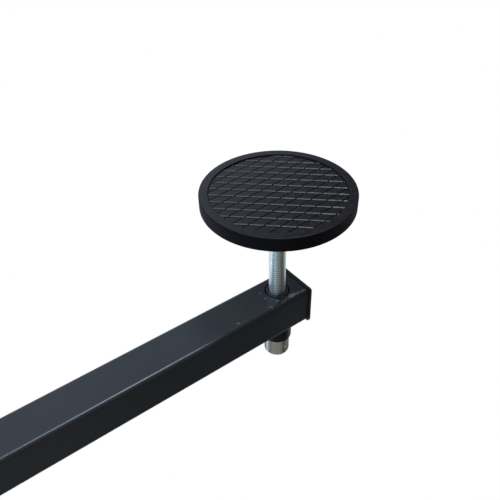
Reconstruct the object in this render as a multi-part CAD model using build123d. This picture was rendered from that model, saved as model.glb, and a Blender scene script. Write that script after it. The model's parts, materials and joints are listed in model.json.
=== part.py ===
"""Telescopic engine support bar: a slotted beam, two sliding arms on screw feet and two lifting hooks.

Millimetres. X runs along the bar, Z is up, and the soles of the feet stand on z = 0.
Each piece of a pair is drawn for the right-hand end. The left-hand one is the same piece turned half round.
"""
import os
from math import cos, radians, sin, tan

from build123d import *

# Tubes of the bar
ARM_SIDE = 30.0
ARM_WALL = 2.5
BEAM_WALL = 3.0
BEAM_LENGTH = 720.0
CORNER_PER_WALL = 1.2
GUIDE_SPACE = 2.0
ARM_OVERLAP = 130.0
FOOT_REACH = 275.0

# Guides and plugs of the tubes
BUSH_LENGTH = 50.0
BUSH_FLANGE = 3.0
GLIDE_COLLAR = 8.0
GLIDE_PLUG = 20.0
GLIDE_WALL = 4.0
CAP_FLANGE = 2.4
CAP_PROUD = 1.0
CAP_CORNER = 2.0
CAP_PLUG = 7.0
CAP_WALL = 2.0
CAP_EDGE = 0.8

# Screw feet
FOOT_INSET = 17.6
STUD_DIAMETER = 12.0
STUD_SHOWING = 76.3
STUD_PAST_STOP = 1.5
SLEEVE_DIAMETER = 16.5
STUD_HOLE = 18.4
FOOT_NUT_DIAMETER = 22.0
FOOT_NUT_HEIGHT = 14.8
FOOT_NUT_EDGE = 0.6
COLLAR_DIAMETER = 19.0
COLLAR_HEIGHT = 16.5
COLLAR_EDGE = 1.7
COLLAR_CHAMFER = 0.5
COLLAR_PIN_DIAMETER = 3.0
COLLAR_PIN_SUNK = 0.5
PAD_DIAMETER = 102.0
PAD_THICKNESS = 10.0
SOLE_EDGE = 1.2
FIELD_DIAMETER = 89.6
FIELD_DEPTH = 0.8
PLATE_DIAMETER = 91.0
PLATE_THICKNESS = 3.0
FOOT_WASHER_DIAMETER = 26.0
FOOT_WASHER_THICKNESS = 2.0
NECK_DIAMETER = 10.0
RIVET_DIAMETER = 15.0
RIVET_HEIGHT = 2.0

# Tread of the pads, grooves in the sole: width, angle from the bar, spacing, and offset from the stud's axis
GROOVE_DEPTH = 1.0
ROW_WIDTH = 1.0
ROW_ANGLE = 43.1
ROW_PITCH = 7.39
ROW_OFFSET = 0.9
SLIT_WIDTH = 0.7
SLIT_ANGLE = -5.0
SLIT_PITCH = 7.2
SLIT_OFFSET = -0.6

# Nuts
NUT_CHAMFER_ANGLE = 30.0
LOCK_NUT_FLATS = 19.0
LOCK_NUT_HEIGHT = 12.0
LOCK_NUT_HEX = 8.0
LOCK_NUT_COLLAR = 17.6
LOCK_NUT_EDGE = 1.4
RING_DIAMETER = 15.4
RING_HEIGHT = 2.2
RING_LIP = 0.8

# Clamps that hold the arms
CLAMP_INSET = 25.0
CLAMP_THREAD = 10.0
CLAMP_NUT_FLATS = 17.0
CLAMP_NUT_HEIGHT = 8.0
SHOE_DIAMETER = 8.5
SHOE_HEIGHT = 4.0
KNOB_CLEARANCE = 5.0
KNOB_DIAMETER = 44.0
KNOB_HEIGHT = 22.0
KNOB_LOBES = 6
KNOB_SCALLOP = 14.0
KNOB_EDGE = 1.5
KNOB_SOCKET = 14.0

# Lifting hooks
HOOK_FROM_CENTRE = 90.0
HOOK_SHIFT = 45.0
HOOK_LOWERING = 92.75
HOOK_BOWL_RADIUS = 20.0
HOOK_NECK_ANGLE = 50.0
HOOK_WRAP_ANGLE = 210.0
HOOK_TIP = 14.0
HOOK_BELOW_BEAM = 1.5
SLOT_WIDTH = 14.0
SADDLE_THICKNESS = 4.0
SADDLE_LENGTH = 56.0
SADDLE_LIP = 14.0
SADDLE_EDGE = 3.0
THRUST_WASHER_DIAMETER = 28.0
THRUST_WASHER_THICKNESS = 2.5
WING_HUB_DIAMETER = 24.0
WING_HUB_TOP = 18.0
WING_HUB_HEIGHT = 18.0
WING_REACH = 34.0
WING_DEPTH = 18.0
WING_THICKNESS = 6.0
WING_RISE_ANGLE = 24.0
WING_EDGE = 1.2
STOP_OVER_HUB = 7.25

# Clearances, measured on one side
RUNNING_GAP = 0.05
FIT_GAP = 0.05
SLIDE_GAP = 0.3
HOLE_GAP = 0.5
END_GAP = 0.2
THREAD_CHAMFER = 1.0

# Sizes and places that follow from those above
HALF_TURN = 180.0
BASE = (Align.CENTER, Align.CENTER, Align.MIN)
ARM_CORNER = CORNER_PER_WALL * ARM_WALL
ARM_INSIDE = ARM_SIDE - 2 * ARM_WALL
ARM_BOTTOM = PAD_THICKNESS + STUD_SHOWING
ARM_TOP = ARM_BOTTOM + ARM_SIDE
AXIS_Z = ARM_BOTTOM + ARM_SIDE / 2
BEAM_INSIDE = ARM_SIDE + 2 * GUIDE_SPACE
BEAM_SIDE = BEAM_INSIDE + 2 * BEAM_WALL
BEAM_CORNER = CORNER_PER_WALL * BEAM_WALL
BEAM_TOP = AXIS_Z + BEAM_SIDE / 2
BEAM_BOTTOM = AXIS_Z - BEAM_SIDE / 2
BEAM_END = BEAM_LENGTH / 2
ARM_INNER_END = BEAM_END - ARM_OVERLAP
FOOT_X = BEAM_END + FOOT_REACH
ARM_OUTER_END = FOOT_X + FOOT_INSET
ARM_LENGTH = ARM_OUTER_END - ARM_INNER_END
CLAMP_X = BEAM_END - CLAMP_INSET
CLAMP_HOLE = CLAMP_THREAD + 2 * HOLE_GAP
SHOE_TOP = ARM_TOP + SHOE_HEIGHT
KNOB_BOTTOM = BEAM_TOP + CLAMP_NUT_HEIGHT + KNOB_CLEARANCE
PLATE_BOTTOM = PAD_THICKNESS - PLATE_THICKNESS
STUD_SHOULDER = PAD_THICKNESS + FOOT_WASHER_THICKNESS
COLLAR_Z = ARM_TOP + FOOT_NUT_HEIGHT
PIN_Z = COLLAR_Z + COLLAR_HEIGHT / 2
STUD_TOP = COLLAR_Z + COLLAR_HEIGHT + STUD_PAST_STOP
SADDLE_TOP = BEAM_TOP + SADDLE_THICKNESS
WING_NUT_Z = SADDLE_TOP + THRUST_WASHER_THICKNESS
HOOK_STOP_Z = WING_NUT_Z + WING_HUB_HEIGHT + STOP_OVER_HUB + HOOK_LOWERING + END_GAP
HOOK_TOP = HOOK_STOP_Z + LOCK_NUT_HEIGHT + STUD_PAST_STOP


def drum(diameter, height, z=0.0):
    """A round bar standing on height z."""
    return Pos(0, 0, z) * Cylinder(diameter / 2, height, align=BASE)


def square_bar(length, side, corner):
    """A square bar with rounded edges, from x = 0 along X, centred on the axis of the beam."""
    return Pos(0, 0, AXIS_Z) * extrude(Plane.YZ * RectangleRounded(side, side, corner), amount=length)


def square_tube(length, side, wall):
    """A square tube, from x = 0 along X, centred on the axis of the beam."""
    corner = CORNER_PER_WALL * wall
    return square_bar(length, side, corner) - square_bar(length, side - 2 * wall, corner - wall)


def rod_end(shape):
    """The shape with its topmost edge chamfered, as the end of a thread is."""
    return chamfer(shape.edges().group_by(Axis.Z)[-1], THREAD_CHAMFER)


def nut_blank(flats, height):
    """A hexagonal nut without its hole, its corners turned off at both faces."""
    corner = flats / 2 / cos(radians(NUT_CHAMFER_ANGLE))
    drop = (corner - flats / 2) * tan(radians(NUT_CHAMFER_ANGLE))
    outline = Polyline(
        (0, 0),
        (flats / 2, 0),
        (corner, drop),
        (corner, height - drop),
        (flats / 2, height),
        (0, height),
        close=True,
    )
    turned = revolve(Plane.XZ * make_face(outline), axis=Axis.Z)
    return turned & extrude(RegularPolygon(flats / 2, 6, major_radius=False), amount=height)


def hex_nut(flats, height, thread):
    """A plain nut standing on z = 0."""
    return nut_blank(flats, height) - drum(thread + 2 * RUNNING_GAP, height)


def lock_nut():
    """A nut with a round collar at its top, grooved inside for a nylon ring."""
    collar = drum(LOCK_NUT_COLLAR, LOCK_NUT_HEIGHT)
    collar = fillet(collar.edges().group_by(Axis.Z)[-1], LOCK_NUT_EDGE)
    nut = nut_blank(LOCK_NUT_FLATS, LOCK_NUT_HEX) + collar
    groove_z = LOCK_NUT_HEIGHT - RING_LIP - RING_HEIGHT
    nut -= drum(STUD_DIAMETER + 2 * FIT_GAP, groove_z)
    nut -= drum(RING_DIAMETER, RING_HEIGHT, groove_z)
    return nut - drum((STUD_DIAMETER + RING_DIAMETER) / 2, RING_LIP, LOCK_NUT_HEIGHT - RING_LIP)


def lock_ring():
    """The nylon ring inside a lock nut."""
    ring = drum(RING_DIAMETER - 2 * FIT_GAP, RING_HEIGHT) - drum(STUD_DIAMETER + 2 * FIT_GAP, RING_HEIGHT)
    return Pos(0, 0, LOCK_NUT_HEIGHT - RING_LIP - RING_HEIGHT) * ring


def washer(diameter, hole, thickness):
    """A flat washer standing on z = 0."""
    return drum(diameter, thickness) - drum(hole, thickness)


# Beam and the guides in its mouths
def main_beam():
    """The middle tube, slotted through for the hooks and holed for the clamps."""
    tube = Pos(-BEAM_END, 0, 0) * square_tube(BEAM_LENGTH, BEAM_SIDE, BEAM_WALL)
    slot = extrude(SlotOverall(2 * HOOK_SHIFT + SLOT_WIDTH, SLOT_WIDTH), amount=BEAM_TOP)
    hole = drum(CLAMP_HOLE, BEAM_SIDE / 2, AXIS_Z)
    for side in (-1, 1):
        tube -= Pos(side * HOOK_FROM_CENTRE, 0, 0) * slot
        tube -= Pos(side * CLAMP_X, 0, 0) * hole
    return tube


def beam_bush():
    """The plastic bush that lines the mouth of the beam and guides the arm."""
    insert = Pos(BEAM_END - BUSH_LENGTH, 0, 0) * square_bar(
        BUSH_LENGTH, BEAM_INSIDE - 2 * FIT_GAP, BEAM_CORNER - BEAM_WALL
    )
    flange = Pos(BEAM_END, 0, 0) * square_bar(BUSH_FLANGE, BEAM_SIDE, BEAM_CORNER)
    opening = square_bar(FOOT_X, ARM_SIDE + 2 * SLIDE_GAP, ARM_CORNER)
    return insert + flange - opening - Pos(CLAMP_X, 0, AXIS_Z) * drum(CLAMP_HOLE, BEAM_SIDE / 2)


# Sliding arm
def arm():
    """The square tube that carries a foot, with the holes for its stud."""
    tube = Pos(ARM_INNER_END, 0, 0) * square_tube(ARM_LENGTH, ARM_SIDE, ARM_WALL)
    tube -= Pos(FOOT_X, 0, 0) * drum(STUD_HOLE, ARM_SIDE / 2, ARM_BOTTOM)
    return tube - Pos(FOOT_X, 0, 0) * drum(STUD_DIAMETER + 2 * HOLE_GAP, ARM_SIDE / 2, AXIS_Z)


def arm_glide():
    """The plastic collar on the inner end of the arm, which runs inside the beam."""
    plug_side = ARM_INSIDE - 2 * FIT_GAP
    plug = Pos(ARM_INNER_END, 0, 0) * square_bar(GLIDE_PLUG, plug_side, ARM_CORNER - ARM_WALL)
    collar = Pos(ARM_INNER_END - GLIDE_COLLAR, 0, 0) * square_bar(
        GLIDE_COLLAR, BEAM_INSIDE - 2 * SLIDE_GAP, BEAM_CORNER - BEAM_WALL
    )
    return plug + collar - square_bar(FOOT_X, plug_side - 2 * GLIDE_WALL, ARM_CORNER)


def arm_cap():
    """The plastic plug that closes the outer end of the arm."""
    flange = Pos(ARM_OUTER_END, 0, 0) * square_bar(CAP_FLANGE, ARM_SIDE + 2 * CAP_PROUD, CAP_CORNER)
    flange = fillet(flange.edges().group_by(Axis.X)[-1], CAP_EDGE)
    plug_side = ARM_INSIDE - 2 * FIT_GAP
    plug = square_bar(CAP_PLUG, plug_side, ARM_CORNER - ARM_WALL)
    plug -= square_bar(CAP_PLUG, plug_side - 2 * CAP_WALL, ARM_CORNER - ARM_WALL)
    return flange + Pos(ARM_OUTER_END - CAP_PLUG, 0, 0) * plug


# Screw foot, drawn round its own axis
def foot_sleeve():
    """The spacer inside the arm, which shows in the lower hole flush with the wall."""
    return Pos(0, 0, ARM_BOTTOM) * washer(SLEEVE_DIAMETER, STUD_DIAMETER + 2 * HOLE_GAP, ARM_SIDE - ARM_WALL)


def foot_nut():
    """The round nut welded on top of the arm, which the stud screws through."""
    nut = drum(FOOT_NUT_DIAMETER, FOOT_NUT_HEIGHT)
    nut = fillet(nut.edges().group_by(Axis.Z)[-1], FOOT_NUT_EDGE)
    return Pos(0, 0, ARM_TOP) * (nut - drum(STUD_DIAMETER + 2 * RUNNING_GAP, FOOT_NUT_HEIGHT))


def pin_bar(diameter, length):
    """A round bar across the stud, where the collar is pinned to it."""
    return extrude(Plane.XZ * Pos(0, PIN_Z) * Circle(diameter / 2), amount=length / 2, both=True)


def stop_collar():
    """The round collar pinned to the top of the stud, so that the foot can't be screwed out."""
    collar = drum(COLLAR_DIAMETER, COLLAR_HEIGHT)
    collar = fillet(collar.edges().group_by(Axis.Z)[-1], COLLAR_EDGE)
    collar = chamfer(collar.edges().group_by(Axis.Z)[0], COLLAR_CHAMFER)
    collar -= drum(STUD_DIAMETER + 2 * FIT_GAP, COLLAR_HEIGHT)
    return Pos(0, 0, COLLAR_Z) * collar - pin_bar(COLLAR_PIN_DIAMETER + 2 * FIT_GAP, COLLAR_DIAMETER)


def foot_stud():
    """The threaded stud, necked down and riveted over below the steel plate of the pad."""
    stud = rod_end(drum(STUD_DIAMETER, STUD_TOP - STUD_SHOULDER, STUD_SHOULDER))
    stud -= pin_bar(COLLAR_PIN_DIAMETER + 2 * FIT_GAP, COLLAR_DIAMETER)
    head_top = PLATE_BOTTOM - END_GAP
    stud += drum(NECK_DIAMETER, STUD_SHOULDER - head_top, head_top)
    return stud + drum(RIVET_DIAMETER, RIVET_HEIGHT, head_top - RIVET_HEIGHT)


def tread_lines(width, angle, pitch, offset):
    """One family of parallel grooves over the sole, as flat strips."""
    count = int(FIELD_DIAMETER / pitch)
    strip = Rectangle(FIELD_DIAMETER, width)
    return [Rot(0, 0, angle) * Pos(0, offset + k * pitch) * strip for k in range(-count, count + 1)]


def foot_pad():
    """The rubber pad: a rim round a sunken tread below, and a pocket for the steel plate above."""
    pad = drum(PAD_DIAMETER, PAD_THICKNESS)
    pad = fillet(pad.edges().filter_by(GeomType.CIRCLE), SOLE_EDGE)
    pad -= drum(FIELD_DIAMETER, FIELD_DEPTH)
    rows = tread_lines(ROW_WIDTH, ROW_ANGLE, ROW_PITCH, ROW_OFFSET)
    slits = tread_lines(SLIT_WIDTH, SLIT_ANGLE, SLIT_PITCH, SLIT_OFFSET)
    grooves = Circle(FIELD_DIAMETER / 2) & (Sketch() + rows + slits)
    pad -= Pos(0, 0, FIELD_DEPTH) * extrude(grooves, amount=GROOVE_DEPTH)
    pad -= drum(PLATE_DIAMETER + 2 * FIT_GAP, PLATE_THICKNESS, PLATE_BOTTOM)
    pocket = RIVET_HEIGHT + 2 * END_GAP
    return pad - drum(RIVET_DIAMETER + 2 * HOLE_GAP, pocket, PLATE_BOTTOM - pocket)


def foot_plate():
    """The steel plate inside the pad."""
    plate = washer(PLATE_DIAMETER, NECK_DIAMETER + 2 * RUNNING_GAP, PLATE_THICKNESS)
    return Pos(0, 0, PLATE_BOTTOM) * plate


# Clamp, drawn round its own axis
def clamp_knob():
    """The plastic star knob on the clamp screw."""
    knob = drum(KNOB_DIAMETER, KNOB_HEIGHT)
    for lobe in range(KNOB_LOBES):
        turn = Rot(0, 0, 2 * HALF_TURN * lobe / KNOB_LOBES)
        knob -= turn * Pos((KNOB_DIAMETER + KNOB_SCALLOP / 2) / 2, 0, 0) * drum(KNOB_SCALLOP, KNOB_HEIGHT)
    knob = fillet(knob.edges().group_by(Axis.Z)[-1], KNOB_EDGE)
    knob -= drum(CLAMP_THREAD + 2 * FIT_GAP, KNOB_SOCKET)
    return Pos(0, 0, KNOB_BOTTOM) * knob


def clamp_screw():
    """The screw from the shoe up into the knob."""
    return drum(CLAMP_THREAD, KNOB_BOTTOM + KNOB_SOCKET - END_GAP - SHOE_TOP, SHOE_TOP)


# Lifting hook, drawn round its own axis
def saddle():
    """The folded plate that slides on the beam and carries the wing nut."""
    width = BEAM_SIDE + 2 * SLIDE_GAP
    height = SADDLE_THICKNESS + SADDLE_LIP
    body = Box(SADDLE_LENGTH, width + 2 * SADDLE_THICKNESS, height, align=BASE)
    top_edges = body.edges().filter_by(Axis.X).group_by(Axis.Z)[-1]
    body = fillet(top_edges, SADDLE_EDGE) - Box(SADDLE_LENGTH, width, SADDLE_LIP, align=BASE)
    body -= drum(STUD_DIAMETER + 2 * SLIDE_GAP, height)
    return Pos(0, 0, BEAM_TOP - SADDLE_LIP) * body


def wing_nut():
    """The nut that raises the hook, with two wings to turn it by."""
    hub = Cone(WING_HUB_DIAMETER / 2, WING_HUB_TOP / 2, WING_HUB_HEIGHT, align=BASE)
    wing = extrude(Plane.XZ * SlotOverall(WING_REACH, WING_DEPTH), amount=WING_THICKNESS / 2, both=True)
    wing = fillet(wing.edges(), WING_EDGE)
    wing = Rot(0, -WING_RISE_ANGLE, 0) * Pos(WING_REACH / 2, 0, 0) * wing
    wing = Pos(0, 0, WING_HUB_HEIGHT / 2) * wing
    nut = hub + wing + Rot(0, 0, HALF_TURN) * wing
    nut -= drum(STUD_DIAMETER + 2 * RUNNING_GAP, 2 * WING_REACH)
    return Pos(0, 0, WING_NUT_Z) * nut


def hook_bolt():
    """The threaded bolt bent to a hook, its bowl centred below the bolt."""
    neck = HOOK_BOWL_RADIUS * cos(radians(HOOK_NECK_ANGLE)) / (1 - cos(radians(HOOK_NECK_ANGLE)))
    start = BEAM_BOTTOM - HOOK_BELOW_BEAM
    bowl_z = start - (neck + HOOK_BOWL_RADIUS) * sin(radians(HOOK_NECK_ANGLE))
    shank = Line((0, HOOK_TOP), (0, start))
    bend = CenterArc((-neck, start), neck, 0, -HOOK_NECK_ANGLE)
    bowl = CenterArc((0, bowl_z), HOOK_BOWL_RADIUS, HALF_TURN - HOOK_NECK_ANGLE, HOOK_WRAP_ANGLE)
    tip = Line(bowl @ 1, bowl @ 1 + (bowl % 1) * HOOK_TIP)
    path = Plane.XZ * (Curve() + [shank, bend, bowl, tip])
    section = Plane(origin=path @ 0, z_dir=path % 0) * Circle(STUD_DIAMETER / 2)
    hook = sweep(section, path=path) + Pos(path @ 1) * Sphere(STUD_DIAMETER / 2)
    return rod_end(hook)


# Every piece where it belongs
PAIRED = {
    "beam_bush": beam_bush(),
    "arm": arm(),
    "arm_glide": arm_glide(),
    "arm_cap": arm_cap(),
    "foot_sleeve": Pos(FOOT_X, 0, 0) * foot_sleeve(),
    "foot_nut": Pos(FOOT_X, 0, 0) * foot_nut(),
    "foot_stud": Pos(FOOT_X, 0, 0) * foot_stud(),
    "stop_collar": Pos(FOOT_X, 0, 0) * stop_collar(),
    "stop_pin": Pos(FOOT_X, 0, 0) * pin_bar(COLLAR_PIN_DIAMETER, COLLAR_DIAMETER - 2 * COLLAR_PIN_SUNK),
    "foot_washer": Pos(FOOT_X, 0, PAD_THICKNESS)
    * washer(FOOT_WASHER_DIAMETER, NECK_DIAMETER + 2 * RUNNING_GAP, FOOT_WASHER_THICKNESS),
    "foot_plate": Pos(FOOT_X, 0, 0) * foot_plate(),
    "foot_pad": Pos(FOOT_X, 0, 0) * foot_pad(),
    "clamp_nut": Pos(CLAMP_X, 0, BEAM_TOP) * hex_nut(CLAMP_NUT_FLATS, CLAMP_NUT_HEIGHT, CLAMP_THREAD),
    "clamp_shoe": Pos(CLAMP_X, 0, 0) * drum(SHOE_DIAMETER, SHOE_HEIGHT, ARM_TOP),
    "clamp_screw": Pos(CLAMP_X, 0, 0) * clamp_screw(),
    "clamp_knob": Pos(CLAMP_X, 0, 0) * clamp_knob(),
    "saddle": Pos(HOOK_FROM_CENTRE, 0, 0) * saddle(),
    "thrust_washer": Pos(HOOK_FROM_CENTRE, 0, SADDLE_TOP)
    * washer(THRUST_WASHER_DIAMETER, STUD_DIAMETER + 2 * SLIDE_GAP, THRUST_WASHER_THICKNESS),
    "wing_nut": Pos(HOOK_FROM_CENTRE, 0, 0) * wing_nut(),
    "hook_bolt": Pos(HOOK_FROM_CENTRE, 0, 0) * hook_bolt(),
    "hook_stop_nut": Pos(HOOK_FROM_CENTRE, 0, HOOK_STOP_Z) * lock_nut(),
    "hook_stop_ring": Pos(HOOK_FROM_CENTRE, 0, HOOK_STOP_Z) * lock_ring(),
}

os.makedirs("parts", exist_ok=True)
export_step(main_beam(), "parts/main_beam.step")
for name, piece in PAIRED.items():
    export_step(piece, f"parts/right_{name}.step")
    export_step(Rot(0, 0, HALF_TURN) * piece, f"parts/left_{name}.step")
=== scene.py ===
# %% [markdown]
# # Engine support bar
# The real thing is a square steel beam that bridges an engine bay. An arm slides out of each end and stands
# on a rubber foot on a threaded stud, and two hooked bolts hang from the beam to hold the engine.
# The CAD model already gives each piece its size, its place and the body that it moves with, so this lesson
# only adds looks: finishes on the pieces whose shape is right, and finer meshes where a real thread or tread
# shows. The bar's own sizes are in millimetres and turn into metres by MM. The camera, the floor and its
# shadow are in metres.

import json
import math

import bmesh
import bpy
from mathutils import Matrix, Vector


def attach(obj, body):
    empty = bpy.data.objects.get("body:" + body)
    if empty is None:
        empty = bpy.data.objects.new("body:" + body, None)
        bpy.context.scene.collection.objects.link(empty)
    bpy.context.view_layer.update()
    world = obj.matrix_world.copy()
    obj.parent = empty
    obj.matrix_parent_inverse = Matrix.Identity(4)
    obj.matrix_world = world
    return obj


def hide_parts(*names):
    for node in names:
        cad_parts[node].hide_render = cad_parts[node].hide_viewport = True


MM = 0.001
SIDES = {"left": -1, "right": 1}
FOOT_X = 635.0
TUBE_FACE = 86.3
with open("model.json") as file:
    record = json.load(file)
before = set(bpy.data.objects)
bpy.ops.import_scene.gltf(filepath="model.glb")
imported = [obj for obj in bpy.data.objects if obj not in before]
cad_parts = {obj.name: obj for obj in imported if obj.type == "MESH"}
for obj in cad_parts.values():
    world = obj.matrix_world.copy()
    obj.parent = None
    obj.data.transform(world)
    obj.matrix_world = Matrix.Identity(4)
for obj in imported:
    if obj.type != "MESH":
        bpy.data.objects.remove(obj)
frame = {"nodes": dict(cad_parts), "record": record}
nodes = frame["nodes"]
scene = bpy.context.scene
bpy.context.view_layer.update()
body_of = {node: body for body, names in frame["record"]["behaviour"]["bodies"].items() for node in names}
slot_of = {part["node"]: part["material_slot"] for part in frame["record"]["subparts"]}

# %% [markdown]
# ## The camera
# The photograph shows one foot with the bar turned over, so its rubber sole looks up. The bar stays on its
# feet here, and the camera goes where the photographer was if bar and camera are both turned half round about
# the Y axis. That puts it under the foot, upside down. Angles, lens and place were fitted to the outlines in
# the photograph, and the place is measured from the spot where the stud meets the tube.

# %% Camera at the photographer's place
LENS = 42.65
SENSOR = 36.0
NEAREST_SEEN = 0.01
BEARING = math.radians(-35.67)
CLIMB = math.radians(38.88)
TILT = math.radians(-1.55)
STOOD_AT = Vector((-0.2005, -0.2468, 0.2937))
STUD_AT_TUBE = Vector((-FOOT_X * MM, 0.0, TUBE_FACE * MM))

across = Vector((math.cos(BEARING), math.sin(BEARING), 0))
backward = Vector((
    math.sin(BEARING) * math.cos(CLIMB),
    -math.cos(BEARING) * math.cos(CLIMB),
    math.sin(CLIMB),
))
upward = backward.cross(across)
tilted_across = across * math.cos(TILT) + upward * math.sin(TILT)
tilted_upward = upward * math.cos(TILT) - across * math.sin(TILT)
stance = Matrix((tilted_across, tilted_upward, backward)).transposed().to_4x4()
stance.translation = STOOD_AT
turn_over = Matrix.Translation(STUD_AT_TUBE) @ Matrix.Rotation(math.pi, 4, "Y")

camera = bpy.data.objects.new("camera", bpy.data.cameras.new("camera"))
camera.data.lens = LENS
camera.data.sensor_width = SENSOR
camera.data.clip_start = NEAREST_SEEN
scene.collection.objects.link(camera)
camera.matrix_world = turn_over @ stance
scene.camera = camera
print("camera at", [round(c, 4) for c in camera.matrix_world.translation])

# %% [markdown]
# ## A short way to write nodes
# Every finish below is a small graph of Blender's shader nodes. One helper adds a node, sets its options and
# either links or fills each input, so that a finish reads as a list of what it is made of.

# %% Node helpers
def add(tree, kind, inputs=None, **options):
    """Adds a shader node. Inputs that are sockets get linked, the others get filled in."""
    node = tree.nodes.new("ShaderNode" + kind)
    for key, value in options.items():
        setattr(node, key, value)
    for key, value in (inputs or {}).items():
        if isinstance(value, bpy.types.NodeSocket):
            tree.links.new(value, node.inputs[key])
        else:
            node.inputs[key].default_value = value
    return node


def maths(tree, operation, a, b=0.0, addend=0.0):
    """The result of an operation on two numbers, or on three for MULTIPLY_ADD."""
    return add(tree, "Math", {0: a, 1: b, 2: addend}, operation=operation).outputs[0]


def dot(tree, a, b):
    """How well two directions agree: 1 where they are the same, 0 where they are square to each other."""
    return add(tree, "VectorMath", {0: a, 1: b}, operation="DOT_PRODUCT").outputs["Value"]


def ramp(tree, value, low, high, start=0.0, end=1.0):
    """A smooth step of value, from start at low to end at high."""
    limits = {"Value": value, "From Min": low, "From Max": high, "To Min": start, "To Max": end}
    return add(tree, "MapRange", limits, interpolation_type="SMOOTHSTEP").outputs[0]


def mixed(tree, factor, a, b):
    """Colour a turning into colour b as factor goes from 0 to 1. The node's colour inputs are 6 and 7."""
    return add(tree, "Mix", {0: factor, 6: a, 7: b}, data_type="RGBA").outputs[2]


def speckle(tree, scale, detail, vector):
    """Noise with features of about 1 / scale metres."""
    return add(tree, "TexNoise", {"Vector": vector, "Scale": scale, "Detail": detail}).outputs[0]


print("helpers ready")

# %% [markdown]
# ## The studio
# The photograph has a white ground, soft light from overhead and a dim room on the photographer's side. A
# world shader can hold all of that: white wherever the camera looks, white behind the foot for shiny metal to
# mirror, and a dim room for everything else. The room has four soft windows, two bluish, one bright and one
# faint, which the zinc and the sheen of the coat reflect.
# Suns add the light that falls on the bar, in a slightly blue daylight. Overhead in the photograph is below
# the bar here, so one wide sun is under it, where it also stands for the light that a pale floor throws back.
# Another is over it, and a narrower one draws a bright line along an edge.

# %% World: white ground, dim room
LOOK = (camera.matrix_world.to_3x3() @ Vector((0, 0, -1))).normalized()
BACKDROP_EDGE = (0.36, 0.70)
BACKDROP_FOOT = (0.0, 0.4)
MIRRORED_GROUND = 0.45
LOW_ROOM = 0.08
HIGH_ROOM = 0.06
ROOM_FADE = (-0.25, 0.55)
GROUND_LEVEL = 0.22
GROUND_FADE = (-0.5, -1.0)
WINDOWS = [
    {"towards": (0.92, 0.0, -0.4), "edge": 0.54, "full": 0.74, "light": (0.68, 0.88, 1.00)},
    {"towards": (-0.97, -0.25, 0.0), "edge": 0.89, "full": 0.96, "light": (1.45, 1.54, 1.58)},
    {"towards": (0.14, 0.98, 0.11), "edge": 0.455, "full": 0.575, "light": (0.52, 0.60, 0.80)},
    {"towards": (0.46, -0.57, 0.68), "edge": 0.72, "full": 0.88, "light": (0.170, 0.165, 0.150)},
]

world = bpy.data.worlds.new("studio")
world.use_nodes = True
scene.world = world
tree = world.node_tree
tree.nodes.clear()
direction = add(tree, "TexCoord").outputs["Generated"]
facing = dot(tree, direction, LOOK)
height = add(tree, "SeparateXYZ", {0: direction}).outputs["Z"]
backdrop = maths(tree, "MULTIPLY", ramp(tree, facing, *BACKDROP_EDGE), ramp(tree, height, *BACKDROP_FOOT))
level = ramp(tree, height, *ROOM_FADE, LOW_ROOM, HIGH_ROOM)
level = maths(tree, "ADD", level, ramp(tree, height, *GROUND_FADE, 0.0, GROUND_LEVEL))
room = add(tree, "CombineXYZ", {0: level, 1: level, 2: level}).outputs[0]
for pane in WINDOWS:
    share = ramp(tree, dot(tree, direction, pane["towards"]), pane["edge"], pane["full"])
    glow = add(tree, "VectorMath", {0: pane["light"], "Scale": share}, operation="SCALE")
    room = add(tree, "VectorMath", {0: room, 1: glow.outputs[0]}, operation="ADD").outputs[0]
path = add(tree, "LightPath").outputs
mirrored = maths(tree, "MULTIPLY", backdrop, MIRRORED_GROUND)
mirrored = maths(tree, "MULTIPLY", path["Is Glossy Ray"], mirrored)
seen = maths(tree, "MAXIMUM", path["Is Camera Ray"], path["Is Transmission Ray"])
white = maths(tree, "MAXIMUM", seen, mirrored)
colour = mixed(tree, white, room, (1, 1, 1, 1))
sky = add(tree, "Background", {"Color": colour, "Strength": 1.0})
tree.links.new(sky.outputs[0], add(tree, "OutputWorld").inputs["Surface"])
print("white behind the foot, towards", [round(c, 3) for c in LOOK])

# %% Soft suns over, under and beside the bar
DAYLIGHT = (0.86, 0.94, 1.0)
SUNS = {
    "sun_over": {"towards": (0.1, 0.3, 0.95), "power": 1.2, "width": 40},
    "sun_under": {"towards": (0.30, 0.15, -0.94), "power": 1.05, "width": 34},
    "sun_aside": {"towards": (-0.20, -0.03, -0.98), "power": 1.7, "width": 18},
}
for name, lamp in SUNS.items():
    sun = bpy.data.objects.new(name, bpy.data.lights.new(name, "SUN"))
    sun.data.energy = lamp["power"]
    sun.data.color = DAYLIGHT
    sun.data.angle = math.radians(lamp["width"])
    sun.rotation_euler = Vector(lamp["towards"]).to_track_quat("Z", "Y").to_euler()
    scene.collection.objects.link(sun)
scene.view_settings.view_transform = "Standard"
print("suns", sorted(SUNS))

# %% [markdown]
# The floor only has to carry a soft shadow. Shading it by how much of the sky each spot can see does that,
# and leaves the rest of it as pale as the ground. Seen from below it isn't there, so the photographed sole
# stays in view.

# %% Floor
FLOOR_DROP = 0.4 * MM
FLOOR_HALF = 6.0
SHADOW_REACH = 0.16
SHADOW_DEPTH = 0.55
SHADOW_SAMPLES = 12

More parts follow.
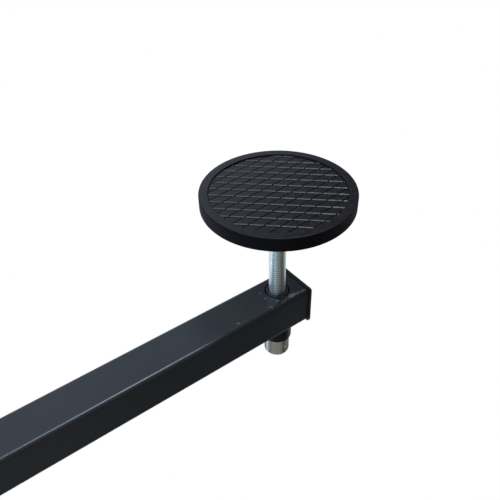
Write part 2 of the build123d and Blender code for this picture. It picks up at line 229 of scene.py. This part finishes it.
floor_mesh = bpy.data.meshes.new("floor")
corners = [(-1, -1), (1, -1), (1, 1), (-1, 1)]
spots = [(x * FLOOR_HALF, y * FLOOR_HALF, -FLOOR_DROP) for x, y in corners]
floor_mesh.from_pydata(spots, [], [(0, 1, 2, 3)])
floor = bpy.data.objects.new("floor", floor_mesh)
scene.collection.objects.link(floor)
pale = bpy.data.materials.new("pale_floor")
pale.use_nodes = True
tree = pale.node_tree
tree.nodes.clear()
open_sky = add(tree, "AmbientOcclusion", {"Distance": SHADOW_REACH}, samples=SHADOW_SAMPLES).outputs["AO"]
shade = maths(tree, "MULTIPLY", maths(tree, "SUBTRACT", 1.0, open_sky), SHADOW_DEPTH)
from_above = maths(tree, "SUBTRACT", 1.0, add(tree, "NewGeometry").outputs["Backfacing"])
shade = maths(tree, "MULTIPLY", shade, from_above)
clear = add(tree, "BsdfTransparent")
dark = add(tree, "Emission", {"Color": (0, 0, 0, 1), "Strength": 0.0})
cover = add(tree, "MixShader", {0: shade, 1: clear.outputs[0], 2: dark.outputs[0]})
tree.links.new(cover.outputs[0], add(tree, "OutputMaterial").inputs["Surface"])
floor_mesh.materials.append(pale)
floor.visible_shadow = False
floor.visible_diffuse = False
floor.visible_glossy = False
print("floor", 2 * FLOOR_HALF, "m wide")

# %% [markdown]
# ## Finishes
# Each finish starts from Blender's Principled shader. What makes it look real is the small stuff: the orange
# peel of powder coat, the spangle of zinc plate, the grain of moulded plastic. All of it is noise in the
# pieces' own coordinates, so it stays on the piece when the piece moves. A noise is named by its scale, in
# features per metre, and most of its values lie within NOISE_SPAN.

# %% Start of a finish
NOISE_SPAN = (0.3, 0.7)


def new_finish(name, roughness, metallic=0.0, specular=0.5):
    """A material with its Principled shader, uniform values set on the shader itself."""
    material = bpy.data.materials.new(name)
    material.use_nodes = True
    shader = material.node_tree.nodes["Principled BSDF"]
    shader.inputs["Roughness"].default_value = roughness
    shader.inputs["Metallic"].default_value = metallic
    shader.inputs["Specular IOR Level"].default_value = specular
    return material, material.node_tree, shader


def relief(tree, shader, heights, strength, depth):
    """Small bumps from a height of 0 to 1, as deep as depth in millimetres."""
    bump = add(tree, "Bump", {"Strength": strength, "Distance": depth * MM, "Height": heights})
    tree.links.new(bump.outputs[0], shader.inputs["Normal"])


finishes = {}
print("finish helpers ready")

# %% [markdown]
# Powder coat is sprayed on dry and melted in an oven. It flows into a skin with a faint orange peel, a soft
# satin shine and thin spots on sharp edges, where it wears first. On the photographed arm it is chipped round
# the stud's hole and scraped along one edge, so an arm's coat takes a list of bare grey patches on the tube's
# face. Along that edge the lighter band is partly a scrape and partly a painted highlight, the light along
# the edge painted on in the same bare grey. A mark is a place along and across the tube, half a length, half
# a width, a heading and a strength.

# %% Powder coat
COAT_GREY = (0.0220, 0.0252, 0.0312, 1)
COAT_GREY_DEEP = (0.0187, 0.0214, 0.0265, 1)
COAT_BLACK = (0.007, 0.0075, 0.009, 1)
# Bare steel where the coat is worn through, and also the colour of the painted highlight along one front
# edge.
BARE_AND_HIGHLIGHT_GREY = (0.20, 0.20, 0.23, 1)
COAT_ROUGHNESS = 0.33
COAT_CLOUDS = 22
SATIN_LEAST = 0.26
SATIN_SPREAD = 0.10
PEEL_GRAIN = 520
PEEL_STRENGTH = 0.10
PEEL_DEPTH = 0.4
WEAR_REACH = 0.9
WEAR_SAMPLES = 6
WEAR_TURN = (0.985, 0.90)
WEAR_PATCHES = 160
WEAR_PATCH_EDGE = (0.52, 0.68)
WEAR_STRENGTH = 0.5
WORN_ROUGHER = 0.3
RAGGED_GRAIN = 650
RAGGEDNESS = 3.0
MARK_DEPTH = 4.0
MARK_EDGE = (1.15, 0.80)


def chip_and_highlight_mask(tree, position, rough_edge, mark):
    """As much as the mark's strength inside a long patch with a ragged edge, 0 outside it. Patches are chips
    and scrapes, and some are partly a painted highlight.
    """
    (x, y), half_length, half_width, heading, strength = mark
    placed = add(tree, "Mapping", {
        "Vector": position,
        "Location": (x * MM, y * MM, TUBE_FACE * MM),
        "Rotation": (0, 0, math.radians(heading)),
        "Scale": (half_length * MM, half_width * MM, MARK_DEPTH * MM),
    }, vector_type="TEXTURE")
    away = add(tree, "VectorMath", {0: placed.outputs[0]}, operation="LENGTH").outputs["Value"]
    ragged = maths(tree, "ADD", away, rough_edge)
    return ramp(tree, ragged, *MARK_EDGE, 0.0, strength)


def edge_wear(tree, position):
    """Patches of wear where the surface turns within a short reach."""
    rounded = add(tree, "Bevel", {"Radius": WEAR_REACH * MM}, samples=WEAR_SAMPLES).outputs[0]
    turned = dot(tree, rounded, add(tree, "NewGeometry").outputs["Normal"])
    patches = ramp(tree, speckle(tree, WEAR_PATCHES, 4, position), *WEAR_PATCH_EDGE)
    worn = maths(tree, "MULTIPLY", ramp(tree, turned, *WEAR_TURN), patches)
    return maths(tree, "MULTIPLY", worn, WEAR_STRENGTH)


def powder_coat(name, chips_and_highlights=(), light=COAT_GREY, deep=COAT_GREY_DEEP, specular=0.38):
    """Satin paint in two close tones with orange peel, worn edges and bare patches, some a painted highlight.
    """
    material, tree, shader = new_finish(name, COAT_ROUGHNESS, specular=specular)
    position = add(tree, "TexCoord").outputs["Object"]
    cloud = speckle(tree, COAT_CLOUDS, 3, position)
    coat = mixed(tree, cloud, deep, light)
    worn = edge_wear(tree, position)
    grain = speckle(tree, RAGGED_GRAIN, 4, position)
    rough_edge = maths(tree, "MULTIPLY_ADD", grain, RAGGEDNESS, addend=-RAGGEDNESS / 2)
    # Each patch turns the coat bare grey: chips and scrapes, and on the left arm partly a painted highlight.
    for mark in chips_and_highlights:
        worn = maths(tree, "MAXIMUM", worn, chip_and_highlight_mask(tree, position, rough_edge, mark))
    tree.links.new(mixed(tree, worn, coat, BARE_AND_HIGHLIGHT_GREY), shader.inputs["Base Color"])
    satin = maths(tree, "MULTIPLY_ADD", cloud, SATIN_SPREAD, addend=SATIN_LEAST)
    rougher = maths(tree, "MULTIPLY", worn, WORN_ROUGHER)
    tree.links.new(maths(tree, "ADD", satin, rougher), shader.inputs["Roughness"])
    relief(tree, shader, speckle(tree, PEEL_GRAIN, 2, position), PEEL_STRENGTH, PEEL_DEPTH)
    return material


# The first three lie along the front edge by the foot: partly scrapes, partly a painted highlight of the
# light along that edge. The others are chips.
LEFT_CHIPS_AND_HIGHLIGHT = [
    ((-640.0, -11.3), 4.0, 1.6, 2, 0.95),
    ((-646.0, -11.9), 5.5, 1.0, 3, 0.55),
    ((-631.5, -12.3), 3.0, 0.7, -8, 0.35),
    ((-627.7, -9.1), 1.3, 0.9, 30, 0.60),
    ((-622.7, -2.1), 1.0, 0.9, 0, 0.50),
    ((-622.7, 4.8), 0.9, 0.7, 0, 0.30),
    ((-620.0, -11.2), 1.6, 0.6, 60, 0.55),
    ((-592.8, -10.3), 1.6, 0.9, 40, 0.35),
]
RIGHT_MARKS = [
    ((628.0, 9.5), 1.4, 0.9, 20, 0.35),
    ((646.0, 12.0), 4.0, 0.7, 4, 0.35),
]
finishes["arm_paint"] = powder_coat("arm_coat")
finishes["beam_paint"] = powder_coat("beam_coat")
nut_coat = powder_coat("nut_coat", light=COAT_BLACK, deep=COAT_BLACK, specular=0.2)
own_finish = {
    "left_arm": powder_coat("left_arm_coat", LEFT_CHIPS_AND_HIGHLIGHT),
    "right_arm": powder_coat("right_arm_coat", RIGHT_MARKS),
    "left_foot_nut": nut_coat,
    "right_foot_nut": nut_coat,
}
print("coats", len(finishes) + len(own_finish))

# %% [markdown]
# Bright zinc plate is a thin bluish-white metal skin. It mirrors its surroundings through a faint spangle,
# and the roots of a thread hold grease and shadow. The threads carry a number at each vertex, 0 in the root
# and 1 on the crest, and the finish darkens by it. Plain pieces have no such number, so they get a second,
# greyer zinc without it. The stop collar is smoother in the photograph, so it gets a third.

# %% Zinc plate
BLUE_ZINC = {"dull": (0.72, 0.82, 0.84, 1), "light": (0.90, 0.97, 0.98, 1)}
GREY_ZINC = {"dull": (0.70, 0.68, 0.63, 1), "light": (0.78, 0.76, 0.71, 1)}
THREAD_ROOT = (0.60, 0.68, 0.70, 1)
ROOT_REACH = (0.0, 0.6)
SPANGLE = 1100
SPANGLE_EDGE = (0.35, 0.65)
SPANGLE_DULLING = 0.12
PLATE_GRAIN = 1400
PLATE_DEPTH = 0.04


def zinc_plate(name, zinc, smoothest, edge, bumps, threaded=False):
    """Zinc from its smoothest roughness up. Edge is how much it mirrors at a glance along it, from 0 to 1."""
    material, tree, shader = new_finish(name, smoothest, metallic=1.0)
    shader.inputs["Specular Tint"].default_value = (edge, edge, edge, 1)
    position = add(tree, "TexCoord").outputs["Object"]
    spangle = speckle(tree, SPANGLE, 3, position)
    skin = mixed(tree, ramp(tree, spangle, *SPANGLE_EDGE), zinc["dull"], zinc["light"])
    if threaded:
        crest = add(tree, "Attribute", attribute_name="crest").outputs["Fac"]
        skin = mixed(tree, ramp(tree, crest, *ROOT_REACH), THREAD_ROOT, skin)
    tree.links.new(skin, shader.inputs["Base Color"])
    roughness = ramp(tree, spangle, *NOISE_SPAN, smoothest + SPANGLE_DULLING, smoothest)
    tree.links.new(roughness, shader.inputs["Roughness"])
    relief(tree, shader, speckle(tree, PLATE_GRAIN, 2, position), bumps, PLATE_DEPTH)
    return material


finishes["zinc"] = zinc_plate("zinc_plate", GREY_ZINC, smoothest=0.46, edge=0.25, bumps=0.04)
threaded_zinc = zinc_plate("zinc_thread", BLUE_ZINC, smoothest=0.28, edge=1.0, bumps=0.14, threaded=True)
collar_zinc = zinc_plate("collar_zinc", GREY_ZINC, smoothest=0.22, edge=0.0, bumps=0.04)
for side in SIDES:
    own_finish[f"{side}_stop_collar"] = collar_zinc
print("zinc ready")

# %% [markdown]
# The pads are moulded black rubber, the caps, guides and knobs black plastic, the rings in the stop nuts
# natural nylon, and the clamp's shoes brass. Each gets its own grain: fine and soft for rubber, a
# spark-eroded texture for plastic, a turned surface for brass.

# %% Rubber, plastic, nylon and brass
GRAIN_CLOUDS = 60
GRAIN_PATCHES = 300
GRAIN_STRENGTH = 0.25
ROUGHNESS_SPREAD = 0.06
MOULDED = {
    "black_plastic": {
        "light": (0.011, 0.011, 0.012, 1), "dark": (0.008, 0.008, 0.009, 1),
        "roughness": 0.42, "grain": 2600, "depth": 0.08,
    },
    "nylon": {
        "light": (0.60, 0.62, 0.62, 1), "dark": (0.52, 0.55, 0.58, 1),
        "roughness": 0.4, "grain": 900, "depth": 0.05,
    },
    "brass": {
        "light": (0.72, 0.53, 0.26, 1), "dark": (0.60, 0.43, 0.20, 1),
        "roughness": 0.34, "grain": 700, "depth": 0.05, "metallic": 1.0,
    },
}
RUBBER = {
    "light": (0.0045, 0.0036, 0.0052, 1), "dark": (0.0036, 0.0029, 0.0043, 1),
    "roughness": 0.72, "grain": 1800, "depth": 0.02,
}
RUBBER_SHINE = 0.11
POLISH_SHINE = 0.30
POLISH_SMOOTHING = -0.42
LIP_SHINE = 0.12


def grained(name, light, dark, roughness, grain, depth, metallic=0.0):
    """A moulded or turned surface: two close colours in soft clouds, and a fine grain."""
    material, tree, shader = new_finish(name, roughness, metallic)
    position = add(tree, "TexCoord").outputs["Object"]
    cloud = ramp(tree, speckle(tree, GRAIN_CLOUDS, 4, position), *NOISE_SPAN)
    tree.links.new(mixed(tree, cloud, dark, light), shader.inputs["Base Color"])
    low, high = roughness - ROUGHNESS_SPREAD, roughness + ROUGHNESS_SPREAD
    patches = ramp(tree, speckle(tree, GRAIN_PATCHES, 3, position), *NOISE_SPAN, low, high)
    tree.links.new(patches, shader.inputs["Roughness"])
    relief(tree, shader, speckle(tree, grain, 3, position), GRAIN_STRENGTH, depth)
    return material


def moulded_rubber(name):
    """Dull rubber, smoother by the polish that its vertices carry and shinier on the lips of the tread."""
    material = grained(name, **RUBBER)
    tree = material.node_tree
    shader = tree.nodes["Principled BSDF"]
    polish = add(tree, "Attribute", attribute_name="polish").outputs["Fac"]
    dull = shader.inputs["Roughness"].links[0].from_socket
    smoothed = maths(tree, "MULTIPLY_ADD", polish, POLISH_SMOOTHING, addend=dull)
    tree.links.new(smoothed, shader.inputs["Roughness"])
    lip = add(tree, "Attribute", attribute_name="lip").outputs["Fac"]
    shine = maths(tree, "MULTIPLY_ADD", polish, POLISH_SHINE, addend=RUBBER_SHINE)
    shine = maths(tree, "MULTIPLY_ADD", lip, LIP_SHINE, addend=shine)
    tree.links.new(shine, shader.inputs["Specular IOR Level"])
    return material


finishes["pad_rubber"] = moulded_rubber("black_rubber")
for slot, look in MOULDED.items():
    finishes[slot] = grained(slot, **look)
print("finishes", sorted(finishes))

# %% [markdown]
# ## New pieces
# A new piece is a mesh that stands for a CAD node: it rides on that node's body, hides the node and carries
# its finish. One helper does all of that.

# %% Put a piece in place of a node
def stand_in(name, bm, node, material, sharp=35):
    """Turns the bmesh into an object that replaces a CAD node, with edges over an angle kept sharp."""
    bmesh.ops.recalc_face_normals(bm, faces=bm.faces)
    mesh = bpy.data.meshes.new(name)
    bm.to_mesh(mesh)
    bm.free()
    mesh.shade_smooth()
    mesh.set_sharp_from_angle(angle=math.radians(sharp))
    mesh.materials.append(material)
    piece = bpy.data.objects.new(name, mesh)
    scene.collection.objects.link(piece)
    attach(piece, body_of[node])
    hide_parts(node)
    return piece


def lathe(bm, profile, steps, centre=(0, 0)):
    """Spins (radius, height) points in millimetres about an upright axis. Radius 0 closes an end."""
    turns = [2 * math.pi * k / steps for k in range(steps)]
    rings = []
    for radius, z in profile:
        spots = [(centre[0] + radius * math.cos(a), centre[1] + radius * math.sin(a), z) for a in turns]
        if radius == 0:
            spots = [(*centre, z)]
        rings.append([bm.verts.new([c * MM for c in spot]) for spot in spots])
    for low, high in zip(rings, rings[1:]):
        for k in range(steps):
            n = k + 1
            ring = [low[k % len(low)], low[n % len(low)], high[n % len(high)], high[k % len(high)]]
            corners = list(dict.fromkeys(ring))
            if len(corners) > 2:
                bm.faces.new(corners)
    return rings


print("piece helpers ready")

# %% [markdown]
# ## Threads
# A stud's thread is a helical ridge. A bump texture would look right face on, but its outline would stay
# smooth, and the light would never catch a crest. So the thread is built as it is rolled: one profile of
# root, flank, crest and flank goes round and up by a pitch each turn, each turn joins the next, and the ends
# are cut off square. The profile's points are a rise and a depth, as shares of the pitch and of the thread's
# depth.

# %% Cut a thread
THREAD_STEPS = 32
THREAD_PROFILE = [(0.00, 1.0), (0.10, 1.0), (0.42, 0.0), (0.68, 0.0)]
THREAD_DEPTH_PER_PITCH = 0.16
SPARE_TURNS = 2
END_TOLERANCE = 1e-6


def wind_ridge(diameter, pitch, bottom, turns):
    """A helical ridge in millimetres round its own axis, a turn longer than needed at both ends."""
    ridge = bmesh.new()
    mark = ridge.verts.layers.float.new("crest")
    columns = []
    for step in range(turns * THREAD_STEPS + 1):
        angle = 2 * math.pi * step / THREAD_STEPS
        z = bottom - pitch + pitch * step / THREAD_STEPS
        column = []
        for rise, sunk in THREAD_PROFILE:
            r = diameter / 2 - sunk * pitch * THREAD_DEPTH_PER_PITCH
            vert = ridge.verts.new((r * math.cos(angle), r * math.sin(angle), z + rise * pitch))
            vert[mark] = 1 - sunk
            column.append(vert)
        columns.append(column)
    for step in range(turns * THREAD_STEPS):
        here, there = columns[step], columns[step + 1]
        if step + 1 + THREAD_STEPS < len(columns):
            here = here + columns[step + THREAD_STEPS][:1]
            there = there + columns[step + 1 + THREAD_STEPS][:1]
        for k in range(len(here) - 1):
            ridge.faces.new((here[k], there[k], there[k + 1], here[k + 1]))
    return ridge


def thread(bm, diameter, pitch, bottom, top, centre, chamfer=1.0):
    """Adds a closed right-hand thread between two heights, all in millimetres."""
    crest_of = bm.verts.layers.float.get("crest") or bm.verts.layers.float.new("crest")
    ridge = wind_ridge(diameter, pitch, bottom, math.ceil((top - bottom) / pitch) + SPARE_TURNS)
    mark = ridge.verts.layers.float["crest"]
    for z, out in ((top, 1), (bottom, -1)):
        whole = ridge.verts[:] + ridge.edges[:] + ridge.faces[:]
        cut = {"plane_co": (0, 0, z), "plane_no": (0, 0, out), "clear_outer": True}
        bmesh.ops.bisect_plane(ridge, geom=whole, dist=END_TOLERANCE, **cut)
    loose = [v for v in ridge.verts if not v.link_faces]
    bmesh.ops.delete(ridge, geom=loose, context="VERTS")
    bmesh.ops.holes_fill(ridge, edges=[e for e in ridge.edges if e.is_boundary], sides=0)
    for vert in ridge.verts:
        allowed = diameter / 2 - chamfer + (top - vert.co.z)
        r = math.hypot(vert.co.x, vert.co.y)
        if r > allowed:
            vert.co.x *= allowed / r
            vert.co.y *= allowed / r
    made = {}
    for vert in ridge.verts:
        x, y, z = vert.co
        made[vert] = bm.verts.new(((x + centre[0]) * MM, (y + centre[1]) * MM, z * MM))
        made[vert][crest_of] = vert[mark]
    for face in ridge.faces:
        bm.faces.new([made[v] for v in face.verts])
    count = len(ridge.faces)
    ridge.free()
    return count


print("thread profile", THREAD_PROFILE)

# %% [markdown]
# The foot's stud is an M12 thread with a pitch of 1.75 mm. Under the thread it is necked down to pass the
# pad's steel plate, and riveted over below it, out of sight.

# %% Foot studs
STUD = {"diameter": 12.0, "pitch": 1.75, "bottom": 12.0, "top": 149.1}
NECK = [(0, 4.8), (7.5, 4.8), (7.5, 6.8), (5.0, 6.8), (5.0, 12.1), (0, 12.1)]
NECK_STEPS = 32
for side, sign in SIDES.items():
    bm = bmesh.new()
    faces = thread(bm, centre=(sign * FOOT_X, 0), **STUD)
    lathe(bm, NECK, NECK_STEPS, (sign * FOOT_X, 0))
    stand_in(f"{side}_stud", bm, f"{side}_foot_stud", threaded_zinc)
    print(side, "stud", faces, "thread faces")

# %% Clamp screws
CLAMP_X = 335.0
CLAMP = {"diameter": 10.0, "pitch": 1.5, "bottom": 120.3, "top": 148.1}
for side, sign in SIDES.items():
    bm = bmesh.new()
    faces = thread(bm, centre=(sign * CLAMP_X, 0), **CLAMP)
    stand_in(f"{side}_clamp_thread", bm, f"{side}_clamp_screw", threaded_zinc)
    print(side, "clamp screw", faces, "thread faces")

# %% [markdown]
# ## Hooked bolts
# The lifting bolts are round bar, threaded over the length that the wing nut travels and bent below into a
# hook. The bend is swept: circles set square to a line of straights and arcs, joined ring by ring, with a
# domed tip.

# %% Sweep the hooks
HOOK_X = 90.0
HOOK_THREAD = {"diameter": 12.0, "pitch": 1.75, "bottom": 123.8, "top": 259.5}
BAR_RADIUS = 6.0
BAR_STEPS = 32
BAR_OVERLAP = 0.1
BEND_START = 79.8
BOWL_RADIUS = 20.0
NECK_ANGLE = 50.0
NECK_BENDS = 10
WRAP_ANGLE = 210.0
BOWL_BENDS = 36
TIP_LENGTH = 14.0
DOME_ANGLES = (20, 40, 60, 78)


def hook_line():
    """Points (along the bar, height) of the bolt's middle line with their headings, from thread to tip."""
    lean = math.radians(NECK_ANGLE)
    neck = BOWL_RADIUS * math.cos(lean) / (1 - math.cos(lean))
    bowl_z = BEND_START - (neck + BOWL_RADIUS) * math.sin(lean)
    line = [((0, HOOK_THREAD["bottom"] + BAR_OVERLAP), (0, -1)), ((0, BEND_START), (0, -1))]
    for k in range(1, NECK_BENDS + 1):
        a = -lean * k / NECK_BENDS
        point = (-neck + neck * math.cos(a), BEND_START + neck * math.sin(a))
        line.append((point, (math.sin(a), -math.cos(a))))
    for k in range(1, BOWL_BENDS + 1):
        a = math.pi - lean + math.radians(WRAP_ANGLE) * k / BOWL_BENDS
        point = (BOWL_RADIUS * math.cos(a), bowl_z + BOWL_RADIUS * math.sin(a))
        line.append((point, (-math.sin(a), math.cos(a))))
    (x, z), (dx, dz) = line[-1]
    line.append(((x + dx * TIP_LENGTH, z + dz * TIP_LENGTH), (dx, dz)))
    return line


def sweep_bar(bm, line, sign):
    """Rings of the bar along a line in the XZ plane, closed at its start and domed at its tip."""
    (tip_x, tip_z), (dx, dz) = line[-1]
    path = [(point, heading, BAR_RADIUS) for point, heading in line]
    for a in map(math.radians, DOME_ANGLES):
        reach = BAR_RADIUS * math.sin(a)
        path.append(((tip_x + dx * reach, tip_z + dz * reach), (dx, dz), BAR_RADIUS * math.cos(a)))
    rings = []
    for (x, z), (dx, dz), radius in path:
        ring = []
        for k in range(BAR_STEPS):
            a = 2 * math.pi * k / BAR_STEPS
            out = radius * math.cos(a)
            at = (sign * (HOOK_X + x - dz * out), sign * radius * math.sin(a), z + dx * out)
            ring.append(bm.verts.new([c * MM for c in at]))
        rings.append(ring)
    for low, high in zip(rings, rings[1:]):
        for k in range(BAR_STEPS):
            n = (k + 1) % BAR_STEPS
            bm.faces.new((low[k], low[n], high[n], high[k]))
    bm.faces.new(rings[0])
    bm.faces.new(rings[-1])


for side, sign in SIDES.items():
    bm = bmesh.new()
    faces = thread(bm, centre=(sign * HOOK_X, 0), **HOOK_THREAD)
    before = len(bm.verts)
    sweep_bar(bm, hook_line(), sign)
    crest_of = bm.verts.layers.float["crest"]
    bm.verts.ensure_lookup_table()
    for vert in bm.verts[before:]:
        vert[crest_of] = 1.0
    stand_in(f"{side}_hook_bar", bm, f"{side}_hook_bolt", threaded_zinc)
    print(side, "hook", faces, "thread faces")

# %% [markdown]
# ## Rubber pads
# The sole is a rim round a field of rubber blocks. Rows of grooves cross thin slits at a slant, and the edge
# of each block that faces one way is chamfered, so a soft light draws it as a pale line. The field starts as
# one flat disc. Cutting it along every groove's edges gives it the right vertices, and each is then pressed
# in by its depth. Two numbers go with each vertex: its polish, and whether it lies on the lip of a row.

# %% Profile of a pad
RIM_STEPS = 160
FIELD_EDGE = 44.55
FIELD_SINK = 0.8
MOAT_EDGE = 44.7
MOAT_DEPTH = 1.0
SOLE_TOP = 3.0
NEAR = 0.01
RIM_ROUND = 0.05
SOLE_POLISH = 1.0
LIP_POLISH = 0.65
PAD_PROFILE = [
    (MOAT_EDGE, MOAT_DEPTH), (44.8, MOAT_DEPTH), (44.86, 0.25), (45.05, 0.06), (45.4, 0.0),
    (50.35, 0.0), (50.68, 0.1), (50.9, 0.32), (51.0, 0.65),
    (51.0, 8.8), (50.9, 9.3), (50.65, 9.65), (50.25, 9.9), (49.7, 10.0),
    (45.55, 10.0), (45.55, 7.0), (8.0, 7.0), (8.0, 4.6), (0, 4.6),
]
print("pad profile", len(PAD_PROFILE), "points")

# %% Tread of a pad
ROWS = {"angle": 43.1, "pitch": 7.39, "offset": -0.9}
ROW_SHAPE = [(-0.85, 0.0), (-0.75, 0.9), (0.20, 0.9), (0.30, 0.34), (0.86, 0.07), (1.05, 0.0)]
LIP_START, LIP_END = 0.25, 0.95
SLITS = {"angle": -5.0, "pitch": 7.2, "offset": 0.6}
SLIT_SHAPE = [(-0.38, 0.0), (-0.20, 0.45), (0.20, 0.45), (0.38, 0.0)]
SHARE_BEFORE_GROOVE = 0.3
CUT_TOLERANCE = 1e-4


def groove_depth(distance, shape):
    """How deep the tread is at a signed distance from a groove's middle."""
    for (a, deep_a), (b, deep_b) in zip(shape, shape[1:]):
        if a <= distance <= b:
            return deep_a + (deep_b - deep_a) * (distance - a) / (b - a)
    return 0.0


def across_groove(x, y, family):
    """Signed distance from the groove whose share of the pitch the point lies in."""
    a = math.radians(family["angle"])
    d = -x * math.sin(a) + y * math.cos(a) - family["offset"]
    return d - family["pitch"] * math.floor(d / family["pitch"] + SHARE_BEFORE_GROOVE)


def cut_field(bm, family, shape):
    """Cuts the tagged faces along every line where a family of grooves changes depth."""
    a = math.radians(family["angle"])
    normal = Vector((-math.sin(a), math.cos(a), 0))
    count = int(FIELD_EDGE / family["pitch"]) + 1
    for k in range(-count, count + 1):
        for step, _ in shape:
            line = family["offset"] + k * family["pitch"] + step
            if abs(line) > FIELD_EDGE:
                continue
            faces = [f for f in bm.faces if f.tag]
            edges = list(dict.fromkeys(e for f in faces for e in f.edges))
            verts = list(dict.fromkeys(v for f in faces for v in f.verts))
            plane = {"plane_co": normal * line, "plane_no": normal}
            cut = bmesh.ops.bisect_plane(bm, geom=verts + edges + faces, dist=CUT_TOLERANCE, **plane)
            for f in cut["geom"]:
                if isinstance(f, bmesh.types.BMFace):
                    f.tag = True


def in_sole(vert, edge):
    """Whether a vertex belongs to the sole, inside a radius."""
    return vert.co.z < SOLE_TOP and math.hypot(vert.co.x, vert.co.y) < edge + NEAR


def mould_pad():
    """A pad in millimetres round its own axis, sole down."""
    bm = bmesh.new()
    rings = lathe(bm, [(FIELD_EDGE, FIELD_SINK), *PAD_PROFILE], RIM_STEPS)
    bmesh.ops.scale(bm, vec=(1 / MM,) * 3, verts=bm.verts)
    bm.faces.new(rings[0])
    for f in bm.faces:
        f.tag = all(in_sole(v, MOAT_EDGE) for v in f.verts)
    cut_field(bm, ROWS, ROW_SHAPE)
    cut_field(bm, SLITS, SLIT_SHAPE)
    polish_of = bm.verts.layers.float.new("polish")
    lip_of = bm.verts.layers.float.new("lip")
    for v in bm.verts:
        v[polish_of] = SOLE_POLISH if v.co.z < RIM_ROUND else 0.0
        if in_sole(v, FIELD_EDGE):
            from_row = across_groove(v.co.x, v.co.y, ROWS)
            row = groove_depth(from_row, ROW_SHAPE)
            slit = groove_depth(across_groove(v.co.x, v.co.y, SLITS), SLIT_SHAPE)
            v.co.z = FIELD_SINK + max(row, slit)
            v[lip_of] = float(LIP_START < from_row < LIP_END and slit < row)
            v[polish_of] = LIP_POLISH if v[lip_of] else SOLE_POLISH
    return bm


for side, sign in SIDES.items():
    bm = mould_pad()
    turn = Matrix.Rotation(0 if side == "left" else math.pi, 4, "Z")
    place = Matrix.Translation((sign * FOOT_X * MM, 0, 0)) @ turn @ Matrix.Scale(MM, 4)
    bmesh.ops.transform(bm, matrix=place, verts=bm.verts)
    count = len(bm.faces)
    pad = stand_in(f"{side}_tread_pad", bm, f"{side}_foot_pad", finishes["pad_rubber"], sharp=12)
    pad.modifiers.new("even_normals", "WEIGHTED_NORMAL").keep_sharp = True
    print(side, "pad", count, "faces")

# %% [markdown]
# ## Soft edges
# No real edge is razor sharp. The CAD pieces that stay get a small bevel on every sharp edge, so each one
# catches a line of light, and weighted normals keep the flat faces beside it flat. On the drilled pieces the
# triangles of a flat face are first merged into one, because thin ones round a hole would fold the bevel.
# The wing nuts are castings, with no sharp corner anywhere, so theirs is melted over by a fine remesh.

# %% Bevel the CAD pieces
EDGE_ROUND = {
    "arm": 0.25, "arm_cap": 0.3, "arm_glide": 0.3,
    "main_beam": 0.4, "beam_bush": 0.3, "saddle": 0.5, "thrust_washer": 0.25,
    "foot_nut": 0.35, "foot_sleeve": 0.2, "foot_washer": 0.25, "foot_plate": 0.3,
    "stop_collar": 0.3, "stop_pin": 0.15,
    "clamp_nut": 0.3, "clamp_knob": 0.5, "clamp_shoe": 0.2,
    "hook_stop_nut": 0.3, "hook_stop_ring": 0.15,
}
DRILLED = {"stop_collar", "main_beam"}
WELD_REACH = 0.01
FLAT_ANGLE = 0.5
SHARP_ANGLE = 40
BEVEL_SEGMENTS = 2


def plain_name(node):
    """A node's name without its side."""
    return node.removeprefix("left_").removeprefix("right_")


def weld(piece):
    """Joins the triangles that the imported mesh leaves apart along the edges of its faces."""
    piece.modifiers.new("joined", "WELD").merge_threshold = WELD_REACH * MM


for node, piece in nodes.items():
    width = EDGE_ROUND.get(plain_name(node))
    if width is None:
        continue
    weld(piece)
    if plain_name(node) in DRILLED:
        whole = piece.modifiers.new("whole_faces", "DECIMATE")
        whole.decimate_type = "DISSOLVE"
        whole.angle_limit = math.radians(FLAT_ANGLE)
    bevel = piece.modifiers.new("soft_edge", "BEVEL")
    bevel.width = width * MM
    bevel.segments = BEVEL_SEGMENTS
    bevel.limit_method = "ANGLE"
    bevel.angle_limit = math.radians(SHARP_ANGLE)
    piece.modifiers.new("even_normals", "WEIGHTED_NORMAL").keep_sharp = True
print("bevelled", sum(plain_name(n) in EDGE_ROUND for n in nodes))

# %% Cast wing nuts
CAST_VOXEL = 0.55
CAST_SMOOTHING = 0.5
CAST_PASSES = 8
for side in SIDES:
    nut = nodes[f"{side}_wing_nut"]
    weld(nut)
    melt = nut.modifiers.new("cast", "REMESH")
    melt.mode = "VOXEL"
    melt.voxel_size = CAST_VOXEL * MM
    melt.use_smooth_shade = True
    smooth = nut.modifiers.new("rounded", "SMOOTH")
    smooth.factor = CAST_SMOOTHING
    smooth.iterations = CAST_PASSES
print("cast wing nuts")

# %% [markdown]
# ## Finishes on the CAD pieces
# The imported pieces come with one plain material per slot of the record. Each slot now gets its finish, and
# the arms, the feet's nuts and the stop collars get their own.

# %% Give every piece its finish
for node, piece in nodes.items():
    material = own_finish.get(node) or finishes[slot_of[node]]
    piece.data.materials.clear()
    piece.data.materials.append(material)
print("finished", len(nodes), "CAD pieces")
